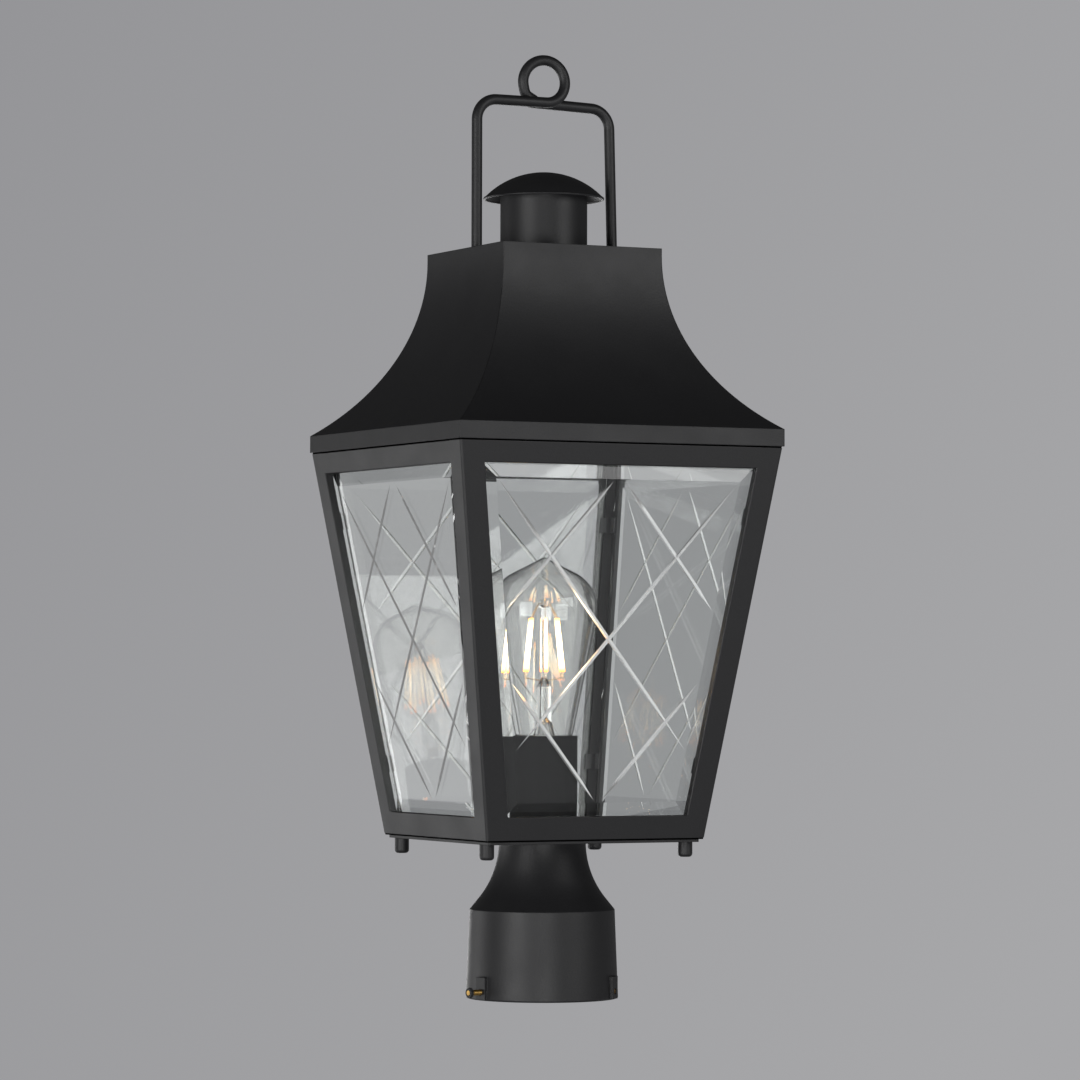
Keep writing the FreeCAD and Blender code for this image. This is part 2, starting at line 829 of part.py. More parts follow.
# --- bulb ------------------------------------------------------------------
def bulb_outline(wall):
    """Half outline of the glass, from the neck's end up to the tip."""
    r = bulb_radius - wall
    shoulder = 21.5 - wall
    side = 60.0 - wall
    slope = 11.4
    centre = (bulb_radius - 60.0, bulb_widest_z)
    dome = (bulb_radius - 21.5, bulb_widest_z)
    low_side = polar(centre, side, -slope)
    return [(11.7 - wall, bulb_neck_z - 3), (11.7 - wall, bulb_neck_z + 0.2),
            (16.2 - wall, sleeve_top_z), low_side,
            (polar(centre, side, -slope / 2), (r, bulb_widest_z)),
            (polar(dome, shoulder, 32), polar(dome, shoulder, 64)),
            (2.5, bulb_top_z - 1.2 - wall), (0, bulb_top_z - wall)]


def bulb_glass():
    outer = turned(*bulb_outline(0), (0, bulb_neck_z - 3))
    inner = turned(*bulb_outline(bulb_wall), (0, bulb_neck_z - 3))
    return outer.cut(inner)


def bulb_screw_cap():
    """Thin screw cap: its thread is drawn as plain rings."""
    crest, root, pitch, turns = 13.05, 12.3, 3.4, 5
    steps = []
    z = bulb_cap_z + 1.2
    for _ in range(turns):
        steps += [(root, z), (crest, z + pitch / 2)]
        z += pitch
    return turned((11.2, bulb_cap_z), *steps, (root, z), (12.8, bulb_neck_z), (11.8, bulb_neck_z),
                  (11.8, bulb_cap_z + 1.5), (11.2, bulb_cap_z + 0.8), (10.6, bulb_cap_z + 0.4))


def bulb_insulator():
    return turned((0, bulb_tip_z + 1.6), (5.2, bulb_tip_z + 1.6), (10.5, bulb_cap_z),
                  (0, bulb_cap_z))


def bulb_tip_contact():
    return turned((0, bulb_tip_z), (3.0, bulb_tip_z), (4.6, bulb_tip_z + 0.8),
                  (4.6, bulb_tip_z + 1.6), (0, bulb_tip_z + 1.6))


def bulb_stem():
    """Glass flare, press and rod, with a button that holds the top wires."""
    low_z = bulb_neck_z - 2.5
    return turned((10.0, low_z), (10.8, low_z), (6.4, 147), (4.4, 156), (4.0, 176), (1.5, 181),
                  (1.5, 221), (3.0, 222.2), (3.0, 224.6), (0, 225.6), (0, 160), (3.4, 155),
                  (5.5, 147))


def filament_point(low, k):
    r, z = low
    angle = filament_phase + 360 * k / filament_count
    return Vec(*polar((0, 0), r, angle), z)


def bulb_filaments():
    return Part.makeCompound([
        rod(filament_point(filament_low, k), filament_point(filament_high, k), filament_radius)
        for k in range(filament_count)])


def bulb_support_wires():
    """Fine wires from the stem's press and from its button to the filaments' ends."""
    wires = []
    for k in range(filament_count):
        low = filament_point((filament_low[0], filament_low[1] - 0.1), k)
        bend = low - UP * 3.5
        wires.append(rod(filament_point((2.7, 179.5), k), bend, wire_radius).fuse(
            rod(bend, low, wire_radius)))
        high = filament_point((filament_high[0], filament_high[1] + 0.3), k)
        wires.append(rod(high, filament_point((3.4, 223.4), k), wire_radius))
    return Part.makeCompound(wires)


# --- write every node ------------------------------------------------------
def save(name, shape):
    shape.exportStep(os.path.join("parts", name + ".step"))


def write_base():
    save("post_fitter", post_fitter())
    left, right, back = set_screw_angles
    save("set_screw_1", set_screw(left))
    save("set_screw_2", sunk_screw(right))
    save("set_screw_3", sunk_screw(back))
    save("base_plate", base_plate())
    save("socket_strap", socket_strap())
    save("strap_screws", Part.makeCompound([strap_screw(x, y) for x, y in strap_points()]))
    save("strap_nuts", Part.makeCompound([
        hex_nut(strap_nut_flats, strap_nut_height, strap_screw_radius + running_gap, strap_top_z, x, y)
        for x, y in strap_points()]))
    save("threaded_nipple", nipple())
    lock_bore = nipple_radius + running_gap
    save("fitter_lock_nut", hex_nut(lock_nut_flats, lock_nut_height, lock_bore,
                                    neck_top_z - neck_wall - lock_nut_height))
    save("strap_lock_nut", hex_nut(lock_nut_flats, lock_nut_height, lock_bore, strap_top_z))
    for number, (x, y) in enumerate(stud_points(), 1):
        save("cap_nut_%d" % number, cap_nut(x, y))


def write_cage():
    corners = ("back_right", "back_left", "front_left", "front_right")
    for quarter, corner in enumerate(corners):
        save("corner_post_" + corner, spun(corner_post(), 90 * quarter))
    faces = ("front", "right", "back", "left")
    for quarter, face in enumerate(faces):
        save("bottom_rail_" + face, spun(bottom_rail(), 90 * quarter))
        save("top_rail_" + face, spun(top_rail(), 90 * quarter))
        save("glass_pane_" + face, spun(glass_pane(), 90 * quarter))
    save("glass_clips", glass_clips())
    save("cage_studs", cage_studs())


def write_roof():
    for quarter, face in enumerate(("front", "right", "back", "left")):
        save("roof_panel_" + face, spun(roof_panel(), 90 * quarter))
    save("roof_top", roof_top())
    save("roof_screws", Part.makeCompound([spun(roof_screw(), 90 * k) for k in range(4)]))
    save("chimney_tube", chimney_tube())
    save("chimney_cap", chimney_cap())
    save("cap_tie_stud", cap_tie())
    save("tie_washer", tie_washer())
    save("tie_nut", hex_nut(small_nut_flats, small_nut_height, tie_radius + running_gap,
                            roof_top_z - sheet - washer_thickness - small_nut_height))
    save("handle_rod", handle_rod())
    save("handle_nuts", handle_nuts())


def write_lamp():
    save("socket_sleeve", socket_sleeve())
    save("socket_body", socket_body())
    save("socket_screw_shell", socket_screw_shell())
    save("socket_contact", socket_contact())
    save("bulb_glass", bulb_glass())
    save("bulb_screw_cap", bulb_screw_cap())
    save("bulb_insulator", bulb_insulator())
    save("bulb_tip_contact", bulb_tip_contact())
    save("bulb_stem", bulb_stem())
    save("bulb_filaments", bulb_filaments())
    save("bulb_support_wires", bulb_support_wires())


os.makedirs("parts", exist_ok=True)
write_base()
write_cage()
write_roof()
write_lamp()
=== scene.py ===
"""Looks of the post top lantern: black powder-coated cage and roof, bevelled and
cut glass, a lit filament bulb.  Metres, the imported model's frame, pieces in the
order in which the lantern is put together."""
import math

import bpy
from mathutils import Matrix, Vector


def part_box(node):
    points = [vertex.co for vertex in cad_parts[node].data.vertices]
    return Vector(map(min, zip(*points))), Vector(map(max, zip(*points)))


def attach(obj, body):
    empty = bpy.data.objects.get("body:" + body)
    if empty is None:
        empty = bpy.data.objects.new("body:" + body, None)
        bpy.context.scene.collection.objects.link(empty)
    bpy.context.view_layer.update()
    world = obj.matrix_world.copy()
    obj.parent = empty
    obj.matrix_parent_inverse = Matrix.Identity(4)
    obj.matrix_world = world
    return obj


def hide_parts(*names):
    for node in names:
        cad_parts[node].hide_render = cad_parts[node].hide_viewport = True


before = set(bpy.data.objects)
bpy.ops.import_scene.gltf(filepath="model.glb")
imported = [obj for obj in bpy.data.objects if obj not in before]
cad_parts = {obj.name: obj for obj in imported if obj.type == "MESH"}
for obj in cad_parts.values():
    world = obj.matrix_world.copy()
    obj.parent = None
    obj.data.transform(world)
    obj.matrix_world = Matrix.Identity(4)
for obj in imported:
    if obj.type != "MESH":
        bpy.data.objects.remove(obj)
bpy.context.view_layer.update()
mm = 0.001


# --- Camera ------------------------------------------------------------------
# The lantern is seen from the left of its front pane, from the height of the
# cage's lower half, with a long lens that is tilted up a little.
view_turn = math.radians(26.5)
view_tilt = math.radians(1.625)
view_roll = math.radians(-0.133)
view_distance = 2590.3 * mm
view_height = 185.3 * mm
view_offset = 1.54 * mm
focal_pixels = 4571.0
photo_pixels = 1080.0
film_width = 36.0
view_reach = 100.0


def make_camera():
    data = bpy.data.cameras.new("camera")
    data.sensor_width = film_width
    data.lens = film_width * focal_pixels / photo_pixels
    data.clip_end = view_reach
    camera = bpy.data.objects.new("camera", data)
    bpy.context.scene.collection.objects.link(camera)
    sine, cosine = math.sin(view_turn), math.cos(view_turn)
    camera.location = (-sine * view_distance - cosine * view_offset,
                       -cosine * view_distance + sine * view_offset, view_height)
    camera.rotation_euler = (math.pi / 2 + view_tilt, view_roll, -view_turn)
    bpy.context.scene.camera = camera


make_camera()
bpy.context.scene.view_settings.view_transform = "Standard"


# --- Ground and light --------------------------------------------------------
# A plain grey sweep, a little darker at the top left, with a low white card
# behind at the left, soft boxes all round and next to no light from above.
ground_grey = "#a1a1a3"
sweep_dark = "#959598"
sweep_pale = "#a7a7a9"
sweep_rise = -0.6
sweep_from, sweep_to = -0.2, 0.15
card_white = "#fdfdff"
card_from, card_to = 0.2, 0.34
card_glow = 0.85
side_glow = 0.11
glow_above = 0.045
glow_falls_by = 0.4
floor_paint = "#b4b4b6"
floor_depth = 900.0 * mm
floor_radius = 9.0
floor_sides = 64
floor_fade_from, floor_fade_to = 0.8, 2.6
aim_height = 0.27


def colour(hex_code):
    """Linear colour from an sRGB hex value."""
    parts = [int(hex_code[k:k + 2], 16) / 255 for k in (1, 3, 5)]
    return [p / 12.92 if p <= 0.04045 else ((p + 0.055) / 1.055) ** 2.4 for p in parts] + [1.0]


def add(tree, kind, **wanted):
    """Adds a node.  A keyword is a property of the node or a socket (spaces as _,
    or in_N by number); its value is a setting or another node's output socket."""
    node = tree.nodes.new(kind)
    for key, value in wanted.items():
        if hasattr(node, key):
            setattr(node, key, value)
            continue
        socket = node.inputs[int(key[3:]) if key.startswith("in_") else key.replace("_", " ")]
        if isinstance(value, bpy.types.NodeSocket):
            tree.links.new(value, socket)
        else:
            socket.default_value = value
    return node


def new_material(name):
    material = bpy.data.materials.new(name)
    material.use_nodes = True
    material.node_tree.nodes.clear()
    return material, material.node_tree


def make_world():
    """Grey sweep for the camera; clear glass also shows the white cards beside the
    sweep; everything else is lit by a faint glow that fades out upwards."""
    world = bpy.data.worlds.new("studio")
    bpy.context.scene.world = world
    world.use_nodes = True
    tree = world.node_tree
    tree.nodes.clear()
    way = add(tree, "ShaderNodeTexCoord").outputs["Generated"]
    across = (math.cos(view_turn), -math.sin(view_turn))
    slope = add(tree, "ShaderNodeVectorMath", operation="DOT_PRODUCT", in_0=way,
                in_1=(*across, sweep_rise))
    shade = add(tree, "ShaderNodeMapRange", Value=slope.outputs["Value"], From_Min=sweep_from,
                From_Max=sweep_to)
    sweep = add(tree, "ShaderNodeMix", data_type="RGBA", Factor=shade.outputs[0],
                in_6=colour(sweep_dark), in_7=colour(sweep_pale))
    aside = add(tree, "ShaderNodeVectorMath", operation="DOT_PRODUCT", in_0=way, in_1=(*across, 0))
    reach = add(tree, "ShaderNodeMath", operation="ABSOLUTE", in_0=aside.outputs["Value"])
    cards = add(tree, "ShaderNodeMapRange", Value=reach.outputs[0], From_Min=card_from,
                From_Max=card_to, To_Max=card_glow)
    path = add(tree, "ShaderNodeLightPath")
    bounces = add(tree, "ShaderNodeMath", operation="ADD", in_0=path.outputs["Glossy Depth"],
                  in_1=path.outputs["Diffuse Depth"])
    straight = add(tree, "ShaderNodeMath", operation="LESS_THAN", in_0=bounces.outputs[0], in_1=0.5)
    clear = add(tree, "ShaderNodeMath", operation="MULTIPLY", in_0=straight.outputs[0],
                in_1=path.outputs["Is Transmission Ray"])
    through = add(tree, "ShaderNodeMath", operation="MULTIPLY", in_0=cards.outputs[0],
                  in_1=clear.outputs[0])
    view = add(tree, "ShaderNodeMix", data_type="RGBA", Factor=through.outputs[0],
               in_6=sweep.outputs[2], in_7=colour(card_white))
    seen = add(tree, "ShaderNodeBackground", Color=view.outputs[2], Strength=1.0)
    height = add(tree, "ShaderNodeSeparateXYZ", Vector=way).outputs["Z"]
    glow = add(tree, "ShaderNodeMapRange", Value=height, From_Min=0.0, From_Max=glow_falls_by,
               To_Min=side_glow, To_Max=glow_above)
    felt = add(tree, "ShaderNodeBackground", Color=colour(card_white), Strength=glow.outputs[0])
    direct = add(tree, "ShaderNodeMath", operation="MAXIMUM", in_0=path.outputs["Is Camera Ray"],
                 in_1=clear.outputs[0])
    mix = add(tree, "ShaderNodeMixShader", in_0=direct.outputs[0], in_1=felt.outputs[0],
              in_2=seen.outputs[0])
    add(tree, "ShaderNodeOutputWorld", Surface=mix.outputs[0])


def make_floor():
    """Grey floor under the lantern, which keeps its shadow and fades into the
    background further out."""
    material, tree = new_material("studio_floor")
    place = add(tree, "ShaderNodeNewGeometry").outputs["Position"]
    flat = add(tree, "ShaderNodeVectorMath", operation="MULTIPLY", in_0=place, in_1=(1, 1, 0))
    away = add(tree, "ShaderNodeVectorMath", operation="LENGTH", in_0=flat.outputs[0])
    fade = add(tree, "ShaderNodeMapRange", Value=away.outputs["Value"], From_Min=floor_fade_from,
               From_Max=floor_fade_to)
    matt = add(tree, "ShaderNodeBsdfDiffuse", Color=colour(floor_paint))
    even = add(tree, "ShaderNodeEmission", Color=colour(ground_grey), Strength=1.0)
    mix = add(tree, "ShaderNodeMixShader", in_0=fade.outputs[0], in_1=matt.outputs[0],
              in_2=even.outputs[0])
    add(tree, "ShaderNodeOutputMaterial", Surface=mix.outputs[0])
    ring = [(floor_radius * math.cos(math.tau * k / floor_sides),
             floor_radius * math.sin(math.tau * k / floor_sides), -floor_depth)
            for k in range(floor_sides)]
    mesh = bpy.data.meshes.new("studio_floor")
    mesh.from_pydata(ring, [], [tuple(range(floor_sides))])
    mesh.materials.append(material)
    floor = bpy.data.objects.new("studio_floor", mesh)
    bpy.context.scene.collection.objects.link(floor)


def soft_box(name, azimuth, height, distance, width, tall, power, aim=aim_height):
    """Rectangular lamp of so many watts, aimed at a height on the lantern's axis;
    its azimuth is in degrees from the front towards +X, its sizes in metres."""
    data = bpy.data.lights.new(name, "AREA")
    data.shape = "RECTANGLE"
    data.size, data.size_y = width, tall
    data.energy = power
    lamp = bpy.data.objects.new(name, data)
    bpy.context.scene.collection.objects.link(lamp)
    angle = math.radians(azimuth)
    lamp.location = (distance * math.sin(angle), -distance * math.cos(angle), height)
    lamp.visible_camera = False
    way = Vector((0, 0, aim)) - lamp.location
    lamp.rotation_euler = way.to_track_quat("-Z", "Y").to_euler()
    return lamp


make_world()
make_floor()
soft_box("card_behind_left", -154, -0.36, 5.0, 5.0, 1.04, 8, aim=-0.36)
soft_box("strip_behind_left", -140, -0.2, 3.0, 1.0, 0.9, 7, aim=0.1)
soft_box("strip_low_left", -62, -0.4, 1.6, 0.5, 0.4, 1.2, aim=0.1)
soft_box("soft_box_left", -67, 0.3, 2.2, 1.2, 0.9, 16)
soft_box("soft_box_front", -22, -0.25, 3.2, 1.3, 0.7, 20)
soft_box("soft_box_right", 28, 0.8, 2.4, 1.2, 1.0, 12)
soft_box("soft_box_back", 163, -0.3, 3.0, 1.6, 0.7, 12).visible_transmission = False


# --- Post fitter -------------------------------------------------------------
# A cast alloy cup that slips over the lamp post, with three bosses for screws.
# Baked epoxy powder: satin black, a fine orange peel, softly rounded edges.
powder_black = "#1a1a1b"
powder_pale = "#232325"
# Black of the painted shadow bands, where a rim shades the frame.
painted_shadow_black = "#050505"
powder_gloss, powder_matt = 0.44, 0.5
powder_ior = 1.52
cloud_size = 24 * mm
peel_size, peel_depth = 1.1 * mm, 0.12 * mm
# The real grain is about 0.1 mm; it is drawn coarser, so that it shows.
grain_size, grain_depth = 0.45 * mm, 0.05 * mm
powder_relief = 0.45
soft_edge = 0.55 * mm
sharp_edge = 0.0


def powder_coat(name, edge_radius, painted_shadow_bands=()):
    """Satin black paint; painted_shadow_bands holds (low, high) heights that are
    painted black, as painted shadow under a rim."""
    material, tree = new_material(name)
    place = add(tree, "ShaderNodeTexCoord").outputs["Object"]
    peel = add(tree, "ShaderNodeTexNoise", Vector=place, Scale=1 / peel_size, Detail=2.0,
               Roughness=0.5)
    grain = add(tree, "ShaderNodeTexNoise", Vector=place, Scale=1 / grain_size, Detail=1.0)
    cloud = add(tree, "ShaderNodeTexNoise", Vector=place, Scale=1 / cloud_size, Detail=3.0)
    shade = add(tree, "ShaderNodeMapRange", Value=grain.outputs[0], From_Min=0.3, From_Max=0.7)
    paint = add(tree, "ShaderNodeMix", data_type="RGBA", Factor=shade.outputs[0],
                in_6=colour(powder_black), in_7=colour(powder_pale))
    rough = add(tree, "ShaderNodeMapRange", Value=cloud.outputs[0], From_Min=0.3, From_Max=0.7,
                To_Min=powder_gloss, To_Max=powder_matt)
    edge = add(tree, "ShaderNodeBevel", samples=4, Radius=edge_radius)
    bump = add(tree, "ShaderNodeBump", Height=peel.outputs[0], Strength=powder_relief,
               Distance=peel_depth, Normal=edge.outputs[0])
    fine = add(tree, "ShaderNodeBump", Height=grain.outputs[0], Strength=powder_relief,
               Distance=grain_depth, Normal=bump.outputs[0])
    shader = add(tree, "ShaderNodeBsdfPrincipled", Base_Color=paint.outputs[2],
                 Roughness=rough.outputs[0], IOR=powder_ior, Normal=fine.outputs[0])
    surface = shader.outputs[0]
    height = add(tree, "ShaderNodeSeparateXYZ", Vector=place).outputs["Z"]
    # Painted shadow: a black matt band mixed in at each height under a rim.
    for low, high in painted_shadow_bands:
        inside = add(tree, "ShaderNodeMath", operation="COMPARE", in_0=height,
                     in_1=(low + high) / 2, in_2=(high - low) / 2)
        shadow = add(tree, "ShaderNodeBsdfDiffuse", Color=colour(painted_shadow_black))
        surface = add(tree, "ShaderNodeMixShader", in_0=inside.outputs[0], in_1=surface,
                      in_2=shadow.outputs[0]).outputs[0]
    add(tree, "ShaderNodeOutputMaterial", Surface=surface)
    return material


def dress(material, *names):
    """Gives the CAD nodes whose names start so their finish."""
    for name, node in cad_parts.items():
        if name.startswith(names):
            node.data.materials.clear()
            node.data.materials.append(material)


black_coat = powder_coat("black_powder_coat", soft_edge)
dress(black_coat, "post_fitter")


# --- Set screws --------------------------------------------------------------
# Three slotted screws, turned from brass rod, clamp the fitter to its post.
# Two are short and sit sunk in their bosses; the third follows below.
brass_bright = "#d8b26a"
brass_dull = "#8d6c35"
brass_gloss, brass_matt = 0.2, 0.42
brass_stain = 1.5 * mm


def turned_brass():
    material, tree = new_material("turned_brass")
    place = add(tree, "ShaderNodeTexCoord").outputs["Object"]
    stain = add(tree, "ShaderNodeTexNoise", Vector=place, Scale=1 / brass_stain, Detail=4.0)
    tone = add(tree, "ShaderNodeMix", data_type="RGBA", Factor=stain.outputs[0],
               in_6=colour(brass_bright), in_7=colour(brass_dull))
    rough = add(tree, "ShaderNodeMapRange", Value=stain.outputs[0], To_Min=brass_gloss,
                To_Max=brass_matt)
    shader = add(tree, "ShaderNodeBsdfPrincipled", Base_Color=tone.outputs[2], Metallic=1.0,
                 Roughness=rough.outputs[0])
    add(tree, "ShaderNodeOutputMaterial", Surface=shader.outputs[0])
    return material


brass = turned_brass()
dress(brass, "set_screw")


# --- Clamp screw at the front left -------------------------------------------
# A brass screw with a rolled thread and a blackened, knurled ring near its outer
# end to turn it by.  Only this one of the three stands out of its boss.
screw_angle = math.radians(-78)
screw_z = 4.8 * mm
screw_tip = 38.8 * mm
screw_end = 52.7 * mm
thread_radius = 1.65 * mm
thread_pitch = 0.8 * mm
thread_depth = 0.26 * mm
thread_run_out = 1 * mm
thread_sides, thread_steps = 24, 150
ring_from = 50.6 * mm
ring_to = 52.6 * mm
ring_radius = 2.9 * mm
ring_chamfer = 0.35 * mm
ring_bevel = 0.3 * mm
ring_land = 0.5 * mm
ring_sink = 0.25 * mm
knurls = 22
knurl_depths = (0.0, 0.12 * mm, 0.16 * mm, 0.12 * mm)


def screw_piece(name, material, rings, sides):
    """Closed tube about the screw's axis; rings holds one list of (out, radius) by side."""
    out = Vector((math.sin(screw_angle), -math.cos(screw_angle), 0))
    across = Vector((math.cos(screw_angle), math.sin(screw_angle), 0))
    points = []
    for ring in rings:
        for k, (along, radius) in enumerate(ring):
            turn = math.tau * k / sides
            points.append(out * along + across * radius * math.cos(turn)
                          + Vector((0, 0, screw_z + radius * math.sin(turn))))
    faces = []
    for row in range(len(rings) - 1):
        here, there = row * sides, (row + 1) * sides
        for k in range(sides):
            n = (k + 1) % sides
            faces.append((here + k, here + n, there + n, there + k))
    faces.append(tuple(range(sides))[::-1])
    faces.append(tuple(range((len(rings) - 1) * sides, len(rings) * sides)))
    mesh = bpy.data.meshes.new(name)
    mesh.from_pydata(points, [], faces)
    mesh.materials.append(material)
    piece = bpy.data.objects.new(name, mesh)
    bpy.context.scene.collection.objects.link(piece)
    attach(piece, "set_screw_1")
    return piece


def threaded_shank():
    """A helical ridge that runs out at both ends."""
    rings = []
    for row in range(thread_steps + 1):
        along = screw_tip + (screw_end - screw_tip) * row / thread_steps
        fade = min(1, (screw_end - along) / thread_run_out, (along - screw_tip) / thread_run_out)
        groove = [0.5 - 0.5 * math.cos(math.tau * (along / thread_pitch - k / thread_sides))
                  for k in range(thread_sides)]
        rings.append([(along, thread_radius - thread_depth * (g * fade + 1 - fade)) for g in groove])
    shank = screw_piece("clamp_screw_thread", brass, rings, thread_sides)
    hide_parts("set_screw_1")


def knurled_ring():
    """Turned ring, chamfered at both sides; each profile point is how far out along
    the screw, its radius, and 1 where the knurls cut into it."""
    sides = knurls * len(knurl_depths)
    hub = thread_radius - thread_depth
    shoulder = ring_radius - ring_chamfer
    profile = ((ring_from, hub, 0), (ring_from, shoulder, 0),
               (ring_from + ring_bevel, ring_radius, 1), (ring_to - ring_bevel, ring_radius, 1),
               (ring_to, shoulder, 0), (ring_to, hub + ring_land, 0), (ring_to - ring_sink, hub, 0))
    rings = [[(along, radius - cut * knurl_depths[k % len(knurl_depths)]) for k in range(sides)]
             for along, radius, cut in profile]
    ring = screw_piece("clamp_screw_ring", powder_coat("blackened_steel", sharp_edge), rings, sides)


threaded_shank()
knurled_ring()


# --- Base plate and cap nuts -------------------------------------------------
# A powder-coated steel plate on top of the fitter carries the cage.  Four cap
# nuts under its corners hold the cage's studs.
dress(black_coat, "base_plate", "cap_nut")


# --- Strap, wire tube and lock nuts ------------------------------------------
# A pressed strap holds the socket, and a hollow threaded tube with two lock nuts
# joins fitter, plate and strap.  Bright zinc plating, which dulls in soft patches.
zinc_bright = "#c9cac8"
zinc_dull = "#8f918f"
zinc_gloss, zinc_matt = 0.25, 0.5
zinc_patch = 4 * mm


def bright_zinc():
    material, tree = new_material("bright_zinc")
    place = add(tree, "ShaderNodeTexCoord").outputs["Object"]
    patch = add(tree, "ShaderNodeTexNoise", Vector=place, Scale=1 / zinc_patch, Detail=5.0)
    tone = add(tree, "ShaderNodeMix", data_type="RGBA", Factor=patch.outputs[0],
               in_6=colour(zinc_bright), in_7=colour(zinc_dull))
    rough = add(tree, "ShaderNodeMapRange", Value=patch.outputs[0], To_Min=zinc_gloss,
                To_Max=zinc_matt)
    shader = add(tree, "ShaderNodeBsdfPrincipled", Base_Color=tone.outputs[2], Metallic=1.0,
                 Roughness=rough.outputs[0])
    add(tree, "ShaderNodeOutputMaterial", Surface=shader.outputs[0])
    return material


zinc = bright_zinc()
dress(zinc, "socket_strap", "strap_screws", "strap_nuts", "strap_lock_nut", "threaded_nipple",
      "fitter_lock_nut")


# --- Lamp socket -------------------------------------------------------------
# A smooth black sleeve over a moulded insulator, both of phenolic, which is hard
# and nearly matt.  The screw shell and the contact in it are brass.
phenolic_black = "#070708"
phenolic_pale = "#0d0d0e"
phenolic_gloss, phenolic_matt = 0.6, 0.7
phenolic_haze = 9 * mm
phenolic_shine = 0.12


def moulded_phenolic():
    material, tree = new_material("black_phenolic")
    place = add(tree, "ShaderNodeTexCoord").outputs["Object"]
    haze = add(tree, "ShaderNodeTexNoise", Vector=place, Scale=1 / phenolic_haze, Detail=3.0)
    rough = add(tree, "ShaderNodeMapRange", Value=haze.outputs[0], To_Min=phenolic_gloss,
                To_Max=phenolic_matt)
    tone = add(tree, "ShaderNodeMix", data_type="RGBA", Factor=haze.outputs[0],
               in_6=colour(phenolic_black), in_7=colour(phenolic_pale))
    shader = add(tree, "ShaderNodeBsdfPrincipled", Base_Color=tone.outputs[2],
                 Roughness=rough.outputs[0], Specular_IOR_Level=phenolic_shine)
    add(tree, "ShaderNodeOutputMaterial", Surface=shader.outputs[0])
    return material


phenolic = moulded_phenolic()
dress(phenolic, "socket_sleeve", "socket_body")
dress(brass, "socket_contact", "socket_screw_shell")


# --- Cage --------------------------------------------------------------------
# Four corner posts with rails between them, cut from steel section, welded and
# ground flush before they are coated.  Zinc-plated studs stand out below.
# Painted shadow: black bands in the coat under the roof's rim and above the plate.
roof_shadow_band = (309.1 * mm, 310.2 * mm)
plate_shadow_band = (90.7 * mm, 91.6 * mm)

dress(powder_coat("welded_powder_coat", sharp_edge, (roof_shadow_band, plate_shadow_band)), "corner_post",
      "bottom_rail", "top_rail")
dress(zinc, "cage_studs")


# --- Panes -------------------------------------------------------------------
# Float glass with ground and polished bevels.  The lattice of wheel-cut lines is
# left finely ground.  Coated sheet clips hold the panes from inside.
float_tint = "#fbfdfc"
glass_ior = 1.5
shadow_tint = "#f4f6f5"
frost_white = "#ffffff"
frost_face_share = 0.88
ripple_size, ripple_depth, ripple_relief = 60 * mm, 0.1 * mm, 0.015
flank_turn, flank_spread = 0.8, 0.1
ground_rough, ground_share = 0.2, 0.3


def clear_glass(name, tint, cut_rough, cut_share):
    """Polished glass that lets lamps shine through it.  The flanks of wheel-cut
    lines are known by how far they turn from their pane's face."""
    material, tree = new_material(name)
    place = add(tree, "ShaderNodeTexCoord").outputs["Object"]
    wave = add(tree, "ShaderNodeTexNoise", Vector=place, Scale=1 / ripple_size, Detail=1.0)
    ripple = add(tree, "ShaderNodeBump", Height=wave.outputs[0], Strength=ripple_relief,
                 Distance=ripple_depth)
    facing = add(tree, "ShaderNodeNewGeometry").outputs["True Normal"]
    size = add(tree, "ShaderNodeVectorMath", operation="ABSOLUTE", in_0=facing)
    split = add(tree, "ShaderNodeSeparateXYZ", Vector=size.outputs[0])
    square = add(tree, "ShaderNodeMath", operation="MAXIMUM", in_0=split.outputs["X"],
                 in_1=split.outputs["Y"])
    flank = add(tree, "ShaderNodeMath", operation="COMPARE", in_0=square.outputs[0],
                in_1=flank_turn, in_2=flank_spread)
    rough = add(tree, "ShaderNodeMath", operation="MULTIPLY", in_0=flank.outputs[0],
                in_1=cut_rough)
    glass = add(tree, "ShaderNodeBsdfPrincipled", Base_Color=colour(tint), Transmission_Weight=1.0,
                Roughness=rough.outputs[0], IOR=glass_ior, Normal=ripple.outputs[0])
    lit = add(tree, "ShaderNodeBsdfTranslucent", Color=colour(frost_white))
    chalk = add(tree, "ShaderNodeBsdfDiffuse", Color=colour(frost_white))
    frost = add(tree, "ShaderNodeMixShader", in_0=frost_face_share, in_1=lit.outputs[0],
                in_2=chalk.outputs[0])
    share = add(tree, "ShaderNodeMath", operation="MULTIPLY", in_0=flank.outputs[0],
                in_1=cut_share)
    body = add(tree, "ShaderNodeMixShader", in_0=share.outputs[0], in_1=glass.outputs[0],
               in_2=frost.outputs[0])
    through = add(tree, "ShaderNodeBsdfTransparent", Color=colour(shadow_tint))
    path = add(tree, "ShaderNodeLightPath")
    mix = add(tree, "ShaderNodeMixShader", in_0=path.outputs["Is Shadow Ray"],
              in_1=body.outputs[0], in_2=through.outputs[0])
    add(tree, "ShaderNodeOutputMaterial", Surface=mix.outputs[0])
    return material


dress(clear_glass("float_glass", float_tint, ground_rough, ground_share), "glass_pane")
dress(black_coat, "glass_clips")


# --- Roof --------------------------------------------------------------------
# Four flared panels of sheet steel, mitred and welded, under a square top, all
# powder-coated.  Small screws fix the roof from inside.
dress(black_coat, "roof_panel", "roof_top")
dress(zinc, "roof_screws")


# --- Chimney -----------------------------------------------------------------
# A short rolled tube with a spun, domed cap, powder-coated.  A zinc-plated tie
# with washer and nut holds the cap down from inside.
dress(black_coat, "chimney")
dress(zinc, "cap_tie_stud", "tie_washer", "tie_nut")


# --- Handle ------------------------------------------------------------------
# One steel rod, bent once round its ring and down at both sides, powder-coated
# and held by a nut under the roof at each end.
dress(black_coat, "handle_rod")
dress(zinc, "handle_nuts")


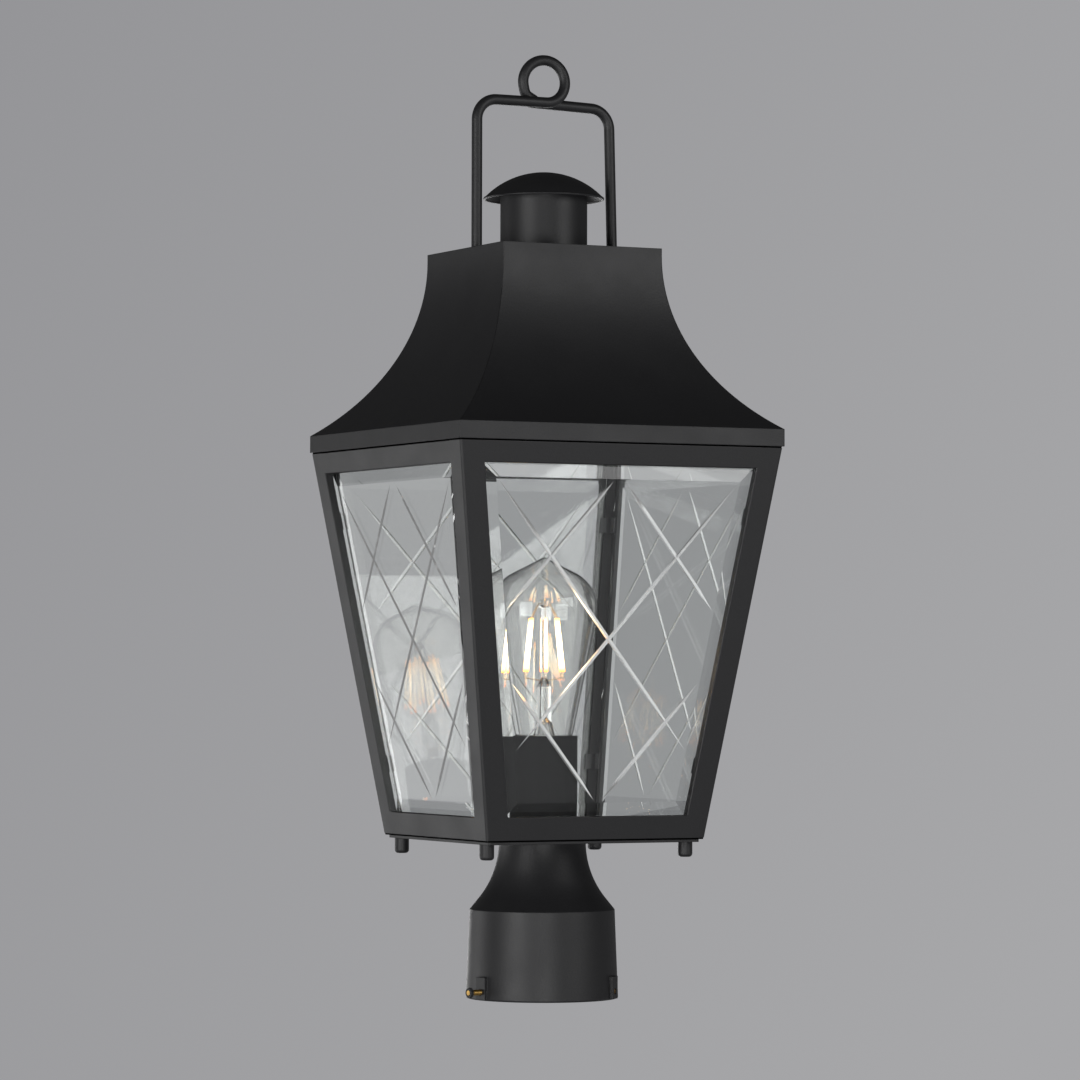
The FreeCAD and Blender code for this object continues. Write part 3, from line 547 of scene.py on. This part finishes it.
# --- Bulb --------------------------------------------------------------------
# A blown clear bulb on a glass stem, with a rolled brass screw cap, a black
# insulator and a brass tip contact.
bulb_tint = "#fdfdfc"

dress(clear_glass("blown_glass", bulb_tint, 0.0, 0.0), "bulb_glass", "bulb_stem")
dress(brass, "bulb_screw_cap", "bulb_tip_contact")
dress(phenolic, "bulb_insulator")


# --- Filaments and their wires -----------------------------------------------
# Rods of small lamps under yellow phosphor, lit: white-hot to the eye in the
# middle and orange at the ends, held by fine drawn wires.
filament_foot = "#ff8a24"
filament_top = "#ffa23a"
filament_tones = ((0.14, "#ffd08a"), (0.5, "#ffe9c4"), (0.88, "#ffd08a"))
strength_seen, strength_cast = 9.0, 4.0
wire_grey = "#c9bda8"
wire_gloss, wire_matt = 0.2, 0.4
wire_marks = 0.8 * mm


def lit_phosphor():
    """Glows by height along the rods; matt surfaces get less of it than the eye."""
    material, tree = new_material("lit_phosphor")
    low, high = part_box("bulb_filaments")
    height = add(tree, "ShaderNodeSeparateXYZ",
                 Vector=add(tree, "ShaderNodeTexCoord").outputs["Object"]).outputs["Z"]
    along = add(tree, "ShaderNodeMapRange", Value=height, From_Min=low.z, From_Max=high.z)
    ramp = add(tree, "ShaderNodeValToRGB", Fac=along.outputs[0])
    stops = ramp.color_ramp.elements
    stops[0].position, stops[0].color = 0.0, colour(filament_foot)
    stops[1].position, stops[1].color = 1.0, colour(filament_top)
    for place, tone in filament_tones:
        stop = stops.new(place)
        stop.color = colour(tone)
    path = add(tree, "ShaderNodeLightPath")
    strength = add(tree, "ShaderNodeMapRange", Value=path.outputs["Is Diffuse Ray"],
                   To_Min=strength_seen, To_Max=strength_cast)
    glow = add(tree, "ShaderNodeEmission", Color=ramp.outputs[0], Strength=strength.outputs[0])
    add(tree, "ShaderNodeOutputMaterial", Surface=glow.outputs[0])
    return material


def drawn_wire():
    material, tree = new_material("drawn_wire")
    place = add(tree, "ShaderNodeTexCoord").outputs["Object"]
    marks = add(tree, "ShaderNodeTexNoise", Vector=place, Scale=1 / wire_marks, Detail=2.0)
    rough = add(tree, "ShaderNodeMapRange", Value=marks.outputs[0], To_Min=wire_gloss,
                To_Max=wire_matt)
    shader = add(tree, "ShaderNodeBsdfPrincipled", Base_Color=colour(wire_grey), Metallic=1.0,
                 Roughness=rough.outputs[0])
    add(tree, "ShaderNodeOutputMaterial", Surface=shader.outputs[0])
    return material


dress(lit_phosphor(), "bulb_filaments")
dress(drawn_wire(), "bulb_support_wires")
